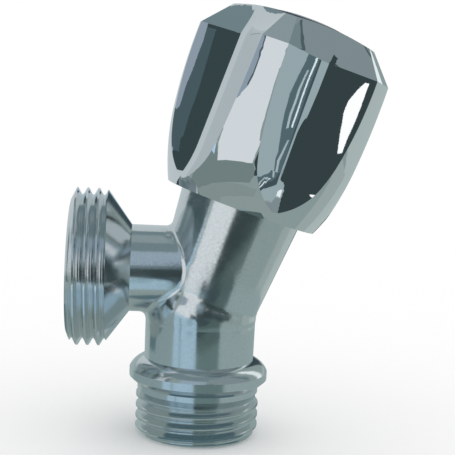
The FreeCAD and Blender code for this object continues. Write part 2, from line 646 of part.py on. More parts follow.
def knob_screw():
    head_top = SCREW_HEAD_BOTTOM + SCREW_HEAD_HEIGHT
    head = disc(SCREW_HEAD_D, SCREW_HEAD_BOTTOM, head_top)
    shank = disc(SCREW_D, SCREW_BOTTOM, SCREW_HEAD_BOTTOM)
    slot = Part.makeBox(SCREW_HEAD_D + 1, SCREW_SLOT_WIDTH, SCREW_SLOT_DEPTH + 1,
                        Vector(-SCREW_HEAD_D / 2 - 0.5, -SCREW_SLOT_WIDTH / 2, head_top - SCREW_SLOT_DEPTH))
    return head.fuse(shank).cut(slot)


def knob_cap():
    """Push-in plug with a face that carries on the knob's crown, and a hollow stem."""
    face = disc(CAP_D, CAP_SEAT, CROWN_TOP + 1).common(crown_ball(CAP_PROUD))
    stem = ring(CAP_STEM_D, CAP_STEM_D - 2 * CAP_STEM_WALL, CAP_SEAT - CAP_STEM_LENGTH, CAP_SEAT)
    return face.fuse(stem)


PIECES = {
    "valve_body": valve_body,
    "headwork_body": lambda: on_head(headwork_body()),
    "headwork_gasket": lambda: on_head(headwork_gasket()),
    "spindle": lambda: on_head(spindle()),
    "spindle_o_ring_lower": lambda: on_head(spindle_o_ring(o_ring_heights()[0])),
    "spindle_o_ring_upper": lambda: on_head(spindle_o_ring(o_ring_heights()[1])),
    "spindle_slip_washer": lambda: on_head(slip_washer()),
    "spindle_circlip": lambda: on_head(circlip()),
    "disc_carrier": lambda: on_head(disc_carrier()),
    "disc_carrier_o_ring": lambda: on_head(carrier_o_ring()),
    "seat_washer": lambda: on_head(seat_washer()),
    "seat_washer_plate": lambda: on_head(washer_plate()),
    "seat_washer_nut": lambda: on_head(washer_nut()),
    "knob": lambda: on_head(knob()),
    "knob_insert": lambda: on_head(knob_insert()),
    "knob_screw_washer": lambda: on_head(knob_screw_washer()),
    "knob_screw": lambda: on_head(knob_screw()),
    "knob_cap": lambda: on_head(knob_cap()),
}

os.makedirs("parts", exist_ok=True)
for name, make in PIECES.items():
    shape = make()
    print(name, shape.isValid(), len(shape.Solids), round(shape.Volume, 1))
    shape.exportStep("parts/" + name + ".step")
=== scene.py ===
import json
import math

import bmesh
import bpy
from mathutils import Matrix, Vector
from mathutils.bvhtree import BVHTree
from mathutils.geometry import barycentric_transform


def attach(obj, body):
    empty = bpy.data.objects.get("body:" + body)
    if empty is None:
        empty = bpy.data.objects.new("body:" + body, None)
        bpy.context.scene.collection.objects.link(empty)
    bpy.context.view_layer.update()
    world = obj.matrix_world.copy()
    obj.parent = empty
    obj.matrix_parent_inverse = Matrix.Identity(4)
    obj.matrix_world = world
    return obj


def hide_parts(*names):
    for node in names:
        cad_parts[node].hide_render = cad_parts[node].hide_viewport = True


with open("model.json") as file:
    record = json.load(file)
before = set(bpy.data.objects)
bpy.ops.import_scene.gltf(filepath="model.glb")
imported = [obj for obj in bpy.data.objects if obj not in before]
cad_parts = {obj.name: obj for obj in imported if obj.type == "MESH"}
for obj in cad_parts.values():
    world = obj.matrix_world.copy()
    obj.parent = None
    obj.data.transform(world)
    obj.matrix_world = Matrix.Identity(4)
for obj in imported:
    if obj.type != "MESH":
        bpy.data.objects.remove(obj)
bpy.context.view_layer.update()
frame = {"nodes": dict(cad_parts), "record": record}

# Valve body
# One brass casting, bored and threaded, then ground and chromed. The plating follows the
# slightly uneven casting, so its reflections waver; the two pipe threads are cut clean.

MM_PER_METRE = 1000
MOUNTS = {mount["name"]: mount for mount in frame["record"]["mounts"]}
THREAD_PITCH = 0.0018143
THREAD_DEPTH = 0.001162
INLET_CREST = 0.00149
INLET_THREAD_END = 0.0071
INLET_RUNOUT = 0.25
OUTLET_CREST = 0.02017
OUTLET_THREAD_START = 0.0125
OUTLET_THREAD_END = 0.0234
OUTLET_RUNOUT = 0.01
HELIX_STEPS = 90
GROOVE_POINTS = 19
GROOVE_EDGE = 0.47
GROOVE_RIM = 0.46
RIM_LIFT = 0.3
RUNOUT_LIFT = 1.3
SAME_POINT = 2e-6
SLIVER = 1e-6
ROUNDED_EDGE = 1
SHARP_FROM = 32
TOWARDS_CENTRE = 0.02
FOLLOWS_WITHIN = 0.00002
FOLLOWS_ANGLE = 14


def merged_copy(node, name):
    """A node's shape as one closed mesh, ready for modifiers."""
    mesh = frame["nodes"][node].data.copy()
    mesh.name = name
    mesh.materials.clear()
    work = bmesh.new()
    work.from_mesh(mesh)
    bmesh.ops.remove_doubles(work, verts=work.verts, dist=SAME_POINT)
    bmesh.ops.dissolve_degenerate(work, edges=work.edges, dist=SLIVER)
    work.to_mesh(mesh)
    work.free()
    piece = bpy.data.objects.new(name, mesh)
    bpy.context.scene.collection.objects.link(piece)
    return piece


def bake(piece):
    """Work a piece's modifiers into its mesh."""
    bpy.context.view_layer.update()
    evaluated = piece.evaluated_get(bpy.context.evaluated_depsgraph_get())
    mesh = bpy.data.meshes.new_from_object(evaluated)
    piece.modifiers.clear()
    piece.data = mesh
    mesh.name = piece.name


def shade(piece, node):
    """Smooth shading between sharp edges, by the node's own surfaces wherever the piece follows them."""
    mesh = piece.data
    work = bmesh.new()
    work.from_mesh(mesh)
    limit = math.radians(SHARP_FROM)
    for face in work.faces:
        face.smooth = True
    for edge in work.edges:
        edge.smooth = len(edge.link_faces) == 2 and edge.calc_face_angle(0.0) < limit
    work.to_mesh(mesh)
    work.free()
    source = frame["nodes"][node].data
    source.calc_loop_triangles()
    places = [vertex.co.copy() for vertex in source.vertices]
    given = [Vector(corner.vector) for corner in source.corner_normals]
    triangles = [tuple(triangle.vertices) for triangle in source.loop_triangles]
    loops = [tuple(triangle.loops) for triangle in source.loop_triangles]
    tree = BVHTree.FromPolygons(places, triangles)
    normals = [Vector(corner.vector) for corner in mesh.corner_normals]
    known = {}
    for face in mesh.polygons:
        if face.material_index == ROUNDED_EDGE:
            continue
        for loop in face.loop_indices:
            number = mesh.loops[loop].vertex_index
            spot = mesh.vertices[number].co
            _, _, index, distance = tree.find_nearest(spot.lerp(face.center, TOWARDS_CENTRE))
            if distance > FOLLOWS_WITHIN:
                continue
            normal = barycentric_transform(spot, *(places[i] for i in triangles[index]),
                                           *(given[i] for i in loops[index])).normalized()
            if normal.dot(face.normal) > math.cos(math.radians(FOLLOWS_ANGLE)):
                normals[loop] = normal
                known.setdefault(number, []).append(normal)
    for face in mesh.polygons:
        if face.material_index == ROUNDED_EDGE:
            for loop in face.loop_indices:
                nearby = known.get(mesh.loops[loop].vertex_index)
                if nearby:
                    normals[loop] = max(nearby, key=face.normal.dot)
            face.material_index = 0
    mesh.normals_split_custom_set(normals)


def thread_groove_tree():
    """Groove between two turns of a pipe thread: a rounded V swept along a helix."""
    tree = bpy.data.node_groups.new("thread groove", "GeometryNodeTree")
    for label, kind, value in (
        ("Radius", "NodeSocketFloat", 0.01),
        ("Pitch", "NodeSocketFloat", 0.001),
        ("Depth", "NodeSocketFloat", 0.001),
        ("Turns", "NodeSocketFloat", 5.0),
        ("Runout", "NodeSocketFloat", 0.1),
    ):
        tree.interface.new_socket(label, in_out="INPUT", socket_type=kind).default_value = value
    tree.interface.new_socket("Material", in_out="INPUT", socket_type="NodeSocketMaterial")
    tree.interface.new_socket("Mesh", in_out="OUTPUT", socket_type="NodeSocketGeometry")
    nodes, links = tree.nodes, tree.links
    sizes = nodes.new("NodeGroupInput").outputs

    def math_node(operation, *values):
        node = nodes.new("ShaderNodeMath")
        node.operation = operation
        for socket, value in zip(node.inputs, values):
            if isinstance(value, (int, float)):
                socket.default_value = value
            else:
                links.new(value, socket)
        return node.outputs[0]

    def mapped(value, low, high, to_low, to_high, smooth=False):
        node = nodes.new("ShaderNodeMapRange")
        node.interpolation_type = "SMOOTHSTEP" if smooth else "LINEAR"
        links.new(value, node.inputs["Value"])
        for label, limit in (("From Min", low), ("From Max", high), ("To Min", to_low), ("To Max", to_high)):
            if isinstance(limit, (int, float)):
                node.inputs[label].default_value = limit
            else:
                links.new(limit, node.inputs[label])
        return node.outputs["Result"]

    def placed(geometry, x, y):
        spot = nodes.new("ShaderNodeCombineXYZ")
        links.new(x, spot.inputs["X"])
        links.new(y, spot.inputs["Y"])
        node = nodes.new("GeometryNodeSetPosition")
        links.new(geometry, node.inputs["Geometry"])
        links.new(spot.outputs["Vector"], node.inputs["Position"])
        return node.outputs["Geometry"]

    # Helix, right-handed, whose last part climbs out of the metal
    spiral = nodes.new("GeometryNodeCurveSpiral")
    spiral.inputs["Resolution"].default_value = HELIX_STEPS
    spiral.inputs["Reverse"].default_value = True
    links.new(sizes["Turns"], spiral.inputs["Rotations"])
    links.new(sizes["Radius"], spiral.inputs["Start Radius"])
    links.new(sizes["Radius"], spiral.inputs["End Radius"])
    links.new(math_node("MULTIPLY", sizes["Pitch"], sizes["Turns"]), spiral.inputs["Height"])
    along = nodes.new("GeometryNodeSplineParameter").outputs["Factor"]
    lift_start = math_node("SUBTRACT", 1.0, math_node("DIVIDE", sizes["Runout"], sizes["Turns"]))
    lift = mapped(along, lift_start, 1.0, 0.0, math_node("MULTIPLY", sizes["Depth"], RUNOUT_LIFT))
    position = nodes.new("GeometryNodeInputPosition").outputs["Position"]
    flat = nodes.new("ShaderNodeVectorMath")
    flat.operation = "MULTIPLY"
    flat.inputs[1].default_value = (1, 1, 0)
    links.new(position, flat.inputs[0])
    outward = nodes.new("ShaderNodeVectorMath")
    outward.operation = "NORMALIZE"
    links.new(flat.outputs["Vector"], outward.inputs[0])
    shift = nodes.new("ShaderNodeVectorMath")
    shift.operation = "SCALE"
    links.new(outward.outputs["Vector"], shift.inputs["Vector"])
    links.new(lift, shift.inputs["Scale"])
    climbing = nodes.new("GeometryNodeSetPosition")
    links.new(spiral.outputs["Curve"], climbing.inputs["Geometry"])
    links.new(shift.outputs["Vector"], climbing.inputs["Offset"])
    upright = nodes.new("GeometryNodeSetCurveNormal")
    upright.mode = "Z_UP"
    links.new(climbing.outputs["Geometry"], upright.inputs["Curve"])

    # Section of the groove, rounded at crest and root, with its two rims lifted off the metal
    line = nodes.new("GeometryNodeMeshLine")
    line.inputs["Count"].default_value = GROOVE_POINTS
    number = nodes.new("GeometryNodeInputIndex").outputs["Index"]
    across = mapped(number, 0, GROOVE_POINTS - 1, -GROOVE_EDGE, GROOVE_EDGE)
    from_middle = math_node("ABSOLUTE", across)
    depth_share = mapped(from_middle, 0.0, 0.5, 1.0, 0.0, smooth=True)
    is_rim = math_node("GREATER_THAN", from_middle, GROOVE_RIM)
    raised = math_node("SUBTRACT", depth_share, math_node("MULTIPLY", is_rim, RIM_LIFT))
    inward = math_node("MULTIPLY", raised, math_node("MULTIPLY", sizes["Depth"], -1.0))
    section = placed(line.outputs["Mesh"], inward, math_node("MULTIPLY", across, sizes["Pitch"]))
    outline = nodes.new("GeometryNodeMeshToCurve")
    links.new(section, outline.inputs["Mesh"])
    closed = nodes.new("GeometryNodeSetSplineCyclic")
    closed.inputs["Cyclic"].default_value = True
    links.new(outline.outputs["Curve"], closed.inputs["Geometry"])

    sweep = nodes.new("GeometryNodeCurveToMesh")
    sweep.inputs["Fill Caps"].default_value = True
    links.new(upright.outputs["Curve"], sweep.inputs["Curve"])
    links.new(closed.outputs["Geometry"], sweep.inputs["Profile Curve"])
    real = nodes.new("GeometryNodeRealizeInstances")
    links.new(sweep.outputs["Mesh"], real.inputs["Geometry"])
    plated = nodes.new("GeometryNodeSetMaterial")
    links.new(real.outputs["Geometry"], plated.inputs["Geometry"])
    links.new(sizes["Material"], plated.inputs["Material"])
    links.new(plated.outputs["Geometry"], nodes.new("NodeGroupOutput").inputs["Mesh"])
    return tree


def with_inputs(modifier, values):
    """Set a tree's named inputs by their identifiers."""
    for item in modifier.node_group.interface.items_tree:
        if item.item_type == "SOCKET" and item.in_out == "INPUT" and item.name in values:
            modifier[item.identifier] = values[item.name]


def groove(name, tree, radius, start, turns, runout, place):
    """Cutter for one thread, starting at a distance along its axis."""
    cutter = bpy.data.objects.new(name, bpy.data.meshes.new(name))
    bpy.context.scene.collection.objects.link(cutter)
    modifier = cutter.modifiers.new("groove", "NODES")
    modifier.node_group = tree
    with_inputs(modifier, {"Radius": radius, "Pitch": THREAD_PITCH, "Depth": THREAD_DEPTH,
                           "Turns": turns, "Runout": runout})
    bake(cutter)
    cutter.data.transform(place @ Matrix.Translation((0, 0, start)))
    work = bmesh.new()
    work.from_mesh(cutter.data)
    bmesh.ops.recalc_face_normals(work, faces=work.faces)
    work.to_mesh(cutter.data)
    work.free()
    return cutter


def groove_start(crest, lowest):
    """Where a groove passes the quarter turn where its helix starts, below a given height."""
    start = crest - THREAD_PITCH / 4
    return start - THREAD_PITCH * math.ceil((start - lowest) / THREAD_PITCH)


def cut_threads(body):
    """Cut the inlet's and the outlet's thread into the casting."""
    tree = thread_groove_tree()
    inlet_radius, outlet_radius = (MOUNTS[thread]["dims"]["r_mm"] / MM_PER_METRE
                                   for thread in ("inlet_thread", "outlet_thread"))
    inlet_start = groove_start(INLET_CREST, -THREAD_PITCH)
    outlet_start = groove_start(OUTLET_CREST, OUTLET_THREAD_START)
    outlet_height = MOUNTS["outlet_thread"]["pos_m"][2]
    outlet_turn = Matrix(((0, 0, -1, 0), (0, -1, 0, 0), (-1, 0, 0, outlet_height), (0, 0, 0, 1)))
    cutters = [
        groove("inlet_groove", tree, inlet_radius, inlet_start,
               (INLET_THREAD_END - inlet_start) / THREAD_PITCH, INLET_RUNOUT, Matrix()),
        groove("outlet_groove", tree, outlet_radius, outlet_start,
               (OUTLET_THREAD_END - outlet_start) / THREAD_PITCH, OUTLET_RUNOUT, outlet_turn),
    ]
    for cutter in cutters:
        modifier = body.modifiers.new("thread", "BOOLEAN")
        modifier.operation = "DIFFERENCE"
        modifier.solver = "EXACT"
        modifier.object = cutter
    bake(body)
    for cutter in cutters:
        bpy.data.objects.remove(cutter)


PATCH_LOW = 0.12
PATCH_HIGH = 0.38


def metal_group():
    """Uneven metal: roughness that varies in patches, and heights of waves and of fine grain."""
    group = bpy.data.node_groups.new("uneven metal", "ShaderNodeTree")
    for label, kind, value in (
        ("Vector", "NodeSocketVector", (0, 0, 0)),
        ("Patch Scale", "NodeSocketFloat", 120.0),
        ("Grain Scale", "NodeSocketFloat", 3000.0),
        ("Smoothest", "NodeSocketFloat", 0.05),
        ("Roughest", "NodeSocketFloat", 0.15),
    ):
        group.interface.new_socket(label, in_out="INPUT", socket_type=kind).default_value = value
    for label in ("Roughness", "Waves", "Grain"):
        group.interface.new_socket(label, in_out="OUTPUT", socket_type="NodeSocketFloat")
    nodes, links = group.nodes, group.links
    given = nodes.new("NodeGroupInput").outputs
    result = nodes.new("NodeGroupOutput").inputs
    patches = nodes.new("ShaderNodeTexNoise")
    patches.inputs["Detail"].default_value = 2.0
    links.new(given["Vector"], patches.inputs["Vector"])
    links.new(given["Patch Scale"], patches.inputs["Scale"])
    grain = nodes.new("ShaderNodeTexNoise")
    grain.inputs["Detail"].default_value = 4.0
    grain.inputs["Roughness"].default_value = 0.6
    links.new(given["Vector"], grain.inputs["Vector"])
    links.new(given["Grain Scale"], grain.inputs["Scale"])
    blend = nodes.new("ShaderNodeMath")
    blend.operation = "MULTIPLY"
    links.new(patches.outputs["Fac"], blend.inputs[0])
    links.new(grain.outputs["Fac"], blend.inputs[1])
    spread = nodes.new("ShaderNodeMapRange")
    spread.inputs["From Min"].default_value = PATCH_LOW
    spread.inputs["From Max"].default_value = PATCH_HIGH
    links.new(blend.outputs[0], spread.inputs["Value"])
    links.new(given["Smoothest"], spread.inputs["To Min"])
    links.new(given["Roughest"], spread.inputs["To Max"])
    links.new(spread.outputs["Result"], result["Roughness"])
    links.new(patches.outputs["Fac"], result["Waves"])
    links.new(grain.outputs["Fac"], result["Grain"])
    return group


UNEVEN_METAL = metal_group()


def metal(name, colour, dull_colour, smoothest, roughest, patch_scale, wave_height,
          grain_scale, grain_height):
    """Bare or plated metal that is a little dull and uneven in places."""
    material = bpy.data.materials.new(name)
    material.use_nodes = True
    nodes, links = material.node_tree.nodes, material.node_tree.links
    shader = nodes["Principled BSDF"]
    shader.inputs["Metallic"].default_value = 1.0
    place = nodes.new("ShaderNodeTexCoord").outputs["Object"]
    uneven = nodes.new("ShaderNodeGroup")
    uneven.node_tree = UNEVEN_METAL
    links.new(place, uneven.inputs["Vector"])
    for label, value in (("Patch Scale", patch_scale), ("Grain Scale", grain_scale),
                         ("Smoothest", smoothest), ("Roughest", roughest)):
        uneven.inputs[label].default_value = value
    tint = nodes.new("ShaderNodeMix")
    tint.data_type = "RGBA"
    tint.inputs["A"].default_value = (*colour, 1)
    tint.inputs["B"].default_value = (*dull_colour, 1)
    links.new(uneven.outputs["Grain"], tint.inputs["Factor"])
    links.new(tint.outputs["Result"], shader.inputs["Base Color"])
    links.new(uneven.outputs["Roughness"], shader.inputs["Roughness"])
    waves = nodes.new("ShaderNodeBump")
    waves.inputs["Distance"].default_value = wave_height
    links.new(uneven.outputs["Waves"], waves.inputs["Height"])
    grain = nodes.new("ShaderNodeBump")
    grain.inputs["Distance"].default_value = grain_height
    links.new(uneven.outputs["Grain"], grain.inputs["Height"])
    links.new(waves.outputs["Normal"], grain.inputs["Normal"])
    links.new(grain.outputs["Normal"], shader.inputs["Normal"])
    return material


cast_chrome = metal("cast chrome", (0.84, 0.86, 0.87), (0.68, 0.71, 0.72), smoothest=0.09, roughest=0.20,
                    patch_scale=140, wave_height=0.00007, grain_scale=2600, grain_height=0.000006)
valve_body = merged_copy("valve_body", "valve_body_chromed")
cut_threads(valve_body)
shade(valve_body, "valve_body")
valve_body.data.materials.append(cast_chrome)
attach(valve_body, "valve")
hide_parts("valve_body")

# Knob
# A hollow zinc casting, polished to a mirror and chromed. Five flutes give the grip, and
# the arrises between flute and lobe are only just rounded by the polishing.

KNOB_EDGE = 0.00018
ARRIS_FROM = 22

mirror_chrome = metal("mirror chrome", (0.82, 0.83, 0.84), (0.78, 0.80, 0.82),
                      smoothest=0.0, roughest=0.012,
                      patch_scale=90, wave_height=0.000006, grain_scale=4200, grain_height=0.0000001)
knob = merged_copy("knob", "knob_chromed")
knob.data.materials.append(mirror_chrome)
knob.data.materials.append(None)
bevel = knob.modifiers.new("polished edges", "BEVEL")
bevel.limit_method = "ANGLE"
bevel.angle_limit = math.radians(ARRIS_FROM)
bevel.width = KNOB_EDGE
bevel.segments = 3
bevel.use_clamp_overlap = True
bevel.material = ROUNDED_EDGE
bake(knob)
shade(knob, "knob")
knob.data.materials.pop()
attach(knob, "knob")
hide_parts("knob")

# Brass pieces of the headwork
# Turned from bar and left bare: the bonnet, the spindle, the sliding carrier, and the
# small plate and nut that hold the seat washer. The tool leaves faint rings.

HEAD_TILT = math.radians(17.8)
RING_PERIOD = 0.314


def finish_node(node, material):
    """Give a carried-over node its finish."""
    mesh = frame["nodes"][node].data
    mesh.materials.clear()
    mesh.materials.append(material)


def add_turning_rings(material, pitch, height):
    """Fine rings round the headwork axis, from the lathe tool."""
    nodes, links = material.node_tree.nodes, material.node_tree.links
    turned = nodes.new("ShaderNodeMapping")
    turned.inputs["Rotation"].default_value = (0, -HEAD_TILT, 0)
    links.new(nodes.new("ShaderNodeTexCoord").outputs["Object"], turned.inputs["Vector"])
    rings = nodes.new("ShaderNodeTexWave")
    rings.bands_direction = "Z"
    rings.inputs["Scale"].default_value = RING_PERIOD / pitch
    rings.inputs["Distortion"].default_value = 0.6
    links.new(turned.outputs["Vector"], rings.inputs["Vector"])
    bump = nodes.new("ShaderNodeBump")
    bump.inputs["Distance"].default_value = height
    links.new(rings.outputs["Fac"], bump.inputs["Height"])
    shader = nodes["Principled BSDF"]
    before = shader.inputs["Normal"].links[0].from_socket
    links.new(before, bump.inputs["Normal"])
    links.new(bump.outputs["Normal"], shader.inputs["Normal"])
    return material


bare_brass = add_turning_rings(
    metal("turned brass", (0.80, 0.62, 0.30), (0.58, 0.43, 0.20), smoothest=0.22, roughest=0.38,
          patch_scale=200, wave_height=0.00001, grain_scale=3200, grain_height=0.000004),
    pitch=0.00012, height=0.000006)
for brass_node in ("headwork_body", "spindle", "disc_carrier", "seat_washer_plate", "seat_washer_nut"):
    finish_node(brass_node, bare_brass)

# Steel pieces
# A snap ring of dark spring steel, stamped and sprung into the spindle's groove, and the
# zinc-plated screw and washer that hold the knob on the spindle.

spring_steel = metal("spring steel", (0.36, 0.37, 0.38), (0.22, 0.22, 0.23),
                     smoothest=0.28, roughest=0.45,
                     patch_scale=300, wave_height=0.00001, grain_scale=3800, grain_height=0.000005)
zinc_plate = metal("zinc plate", (0.66, 0.68, 0.71), (0.50, 0.53, 0.57),
                   smoothest=0.25, roughest=0.42,
                   patch_scale=260, wave_height=0.00001, grain_scale=3000, grain_height=0.000005)
finish_node("spindle_circlip", spring_steel)
for screw_node in ("knob_screw", "knob_screw_washer"):
    finish_node(screw_node, zinc_plate)

# Rubber, fibre and plastic pieces
# Moulded O-rings and seat washer in black rubber, a gasket punched from red fibre, a white
# nylon slip washer and splined sleeve, and a grey moulded plug over the knob's screw.


MOTTLE_LOW = 0.3
MOTTLE_HIGH = 0.7
GLOSS_SPREAD = 0.08


def moulded(name, colour, fleck_colour, fleck_scale, roughness, grain_height, sheen=0.0):
    """Moulded or pressed stuff with a faint mottle and a fine grain."""
    material = bpy.data.materials.new(name)
    material.use_nodes = True
    nodes, links = material.node_tree.nodes, material.node_tree.links
    shader = nodes["Principled BSDF"]
    shader.inputs["Sheen Weight"].default_value = sheen
    place = nodes.new("ShaderNodeTexCoord").outputs["Object"]
    mottle = nodes.new("ShaderNodeTexNoise")
    mottle.inputs["Scale"].default_value = fleck_scale
    mottle.inputs["Detail"].default_value = 5.0
    links.new(place, mottle.inputs["Vector"])
    tint = nodes.new("ShaderNodeMix")
    tint.data_type = "RGBA"
    tint.inputs["A"].default_value = (*colour, 1)
    tint.inputs["B"].default_value = (*fleck_colour, 1)
    links.new(mottle.outputs["Fac"], tint.inputs["Factor"])
    links.new(tint.outputs["Result"], shader.inputs["Base Color"])
    gloss = nodes.new("ShaderNodeMapRange")
    gloss.inputs["From Min"].default_value = MOTTLE_LOW
    gloss.inputs["From Max"].default_value = MOTTLE_HIGH
    gloss.inputs["To Min"].default_value = roughness - GLOSS_SPREAD
    gloss.inputs["To Max"].default_value = roughness + GLOSS_SPREAD
    links.new(mottle.outputs["Fac"], gloss.inputs["Value"])
    links.new(gloss.outputs["Result"], shader.inputs["Roughness"])
    grain = nodes.new("ShaderNodeBump")
    grain.inputs["Distance"].default_value = grain_height
    links.new(mottle.outputs["Fac"], grain.inputs["Height"])
    links.new(grain.outputs["Normal"], shader.inputs["Normal"])
    return material


black_rubber = moulded("black rubber", (0.030, 0.030, 0.031), (0.018, 0.018, 0.018),
                       fleck_scale=1800, roughness=0.55, grain_height=0.00001, sheen=0.1)
gasket_fibre = moulded("red fibre", (0.42, 0.11, 0.08), (0.28, 0.07, 0.05),
                       fleck_scale=1500, roughness=0.75, grain_height=0.00002)
white_nylon = moulded("white nylon", (0.84, 0.83, 0.79), (0.78, 0.77, 0.72),
                      fleck_scale=500, roughness=0.42, grain_height=0.000006)
cap_plastic = moulded("grey plug plastic", (0.46, 0.48, 0.50), (0.42, 0.44, 0.46),
                      fleck_scale=900, roughness=0.32, grain_height=0.000004)
for rubber_node in ("spindle_o_ring_lower", "spindle_o_ring_upper", "disc_carrier_o_ring", "seat_washer"):
    finish_node(rubber_node, black_rubber)
finish_node("headwork_gasket", gasket_fibre)
for nylon_node in ("spindle_slip_washer", "knob_insert"):
    finish_node(nylon_node, white_nylon)
finish_node("knob_cap", cap_plastic)

# Studio
# A white table in white surroundings. Grey, dark and light sheets hang in a round tent, stand
# as a low fence and lie at the foot. They glow in their colours though they are no lamps, and show
# in reflections only: painted reflections, cut to what the chrome mirrors in the photograph.

STUDIO_MIDDLE = Vector((0, 0, 0.035))
TENT_RADIUS = 0.2
TENT_GAP = 0.0004
TABLE_GAP = 0.00001
FENCE_RADIUS = 0.03
FENCE_GAP = 0.0001
FLOOR_SHEET_HEIGHT = 0.0002
FLOOR_GAP = 0.0001
SHEET_FOLD_STEP = 3
FOLD_WITHIN = 1e-5
TABLE_SIZE = 3.0
TABLE_CLEARANCE = 0.00002
CHROME_SHARE = 0.8


def stage_object(name, mesh):
    """Set up a thing of the studio, which is no part of the valve."""
    piece = bpy.data.objects.new(name, mesh)
    bpy.context.scene.collection.objects.link(piece)
    return piece


def linear(hex_colour):
    """Light that chrome has to mirror to look like a colour written as on a screen."""
    channels = [(hex_colour >> shift & 255) / 255 for shift in (16, 8, 0)]
    return [(c / 12.92 if c <= 0.04045 else ((c + 0.055) / 1.055) ** 2.4) / CHROME_SHARE for c in channels]


def tent_size(layer):
    """A layer's distance from the middle of the tent, and its drop from there to the table."""
    return TENT_RADIUS - TENT_GAP * layer, STUDIO_MIDDLE.z - TABLE_GAP * (1 + layer)


def tent_point(azimuth, elevation, layer):
    """Place on the tent in a direction from the valve; low directions land on the table."""
    a, e = math.radians(azimuth), math.radians(elevation)
    direction = Vector((math.sin(a) * math.cos(e), -math.cos(a) * math.cos(e), math.sin(e)))
    reach, drop = tent_size(layer)
    if direction.z < 0:
        reach = min(reach, -drop / direction.z)
    return STUDIO_MIDDLE + direction * reach


def fence_point(azimuth, height, layer):
    """Place on the low round fence, at a height in millimetres."""
    a = math.radians(azimuth)
    reach = FENCE_RADIUS - FENCE_GAP * layer
    return Vector((math.sin(a) * reach, -math.cos(a) * reach, height / MM_PER_METRE))


def floor_point(azimuth, distance, layer):
    """Place on the table close round the valve, at a distance in millimetres."""
    a = math.radians(azimuth)
    reach = distance / MM_PER_METRE
    return Vector((math.sin(a) * reach, -math.cos(a) * reach, FLOOR_SHEET_HEIGHT + FLOOR_GAP * layer))


def fold(sheet, axis, line):
    """Give a flat sheet one more fold, along one azimuth (axis 0) or one height (axis 1)."""
    bmesh.ops.bisect_plane(sheet, geom=sheet.verts[:] + sheet.edges[:] + sheet.faces[:],
                           plane_co=(line, line, 0), plane_no=(1 - axis, axis, 0), dist=FOLD_WITHIN)


def glowing_reflection_sheet(name, colour, corners, layer, place):
    """A glowing sheet that paints a reflection into the chrome, seen in reflections only. It is cut to
    corners that each give an azimuth, from the front round to the right, and an elevation, a height
    or a distance; a tent's sheet also folds where it meets the table."""
    mesh = bpy.data.meshes.new(name)
    work = bmesh.new()
    work.faces.new([work.verts.new((*corner, 0)) for corner in corners])
    bmesh.ops.triangulate(work, faces=work.faces)
    for axis in (0, 1):
        lowest, highest = (pick(corner[axis] for corner in corners) for pick in (min, max))
        for step in range(math.ceil(lowest / SHEET_FOLD_STEP), math.ceil(highest / SHEET_FOLD_STEP)):
            fold(work, axis, SHEET_FOLD_STEP * step)
    if place is tent_point:
        reach, drop = tent_size(layer)
        fold(work, 1, -math.degrees(math.asin(drop / reach)))
    for vert in work.verts:
        vert.co = place(vert.co.x, vert.co.y, layer)
    work.to_mesh(mesh)
    work.free()
    material = bpy.data.materials.new(name)
    material.use_nodes = True
    nodes, links = material.node_tree.nodes, material.node_tree.links
    nodes.remove(nodes["Principled BSDF"])
    # Painted reflection: the sheet glows in its colour, and only the chrome's reflections see it.
    glow = nodes.new("ShaderNodeEmission")
    glow.inputs["Color"].default_value = (*linear(colour), 1)
    links.new(glow.outputs[0], nodes["Material Output"].inputs["Surface"])
    mesh.materials.append(material)
    sheet = stage_object(name, mesh)
    sheet.visible_camera = False
    sheet.visible_diffuse = False
    sheet.visible_shadow = False
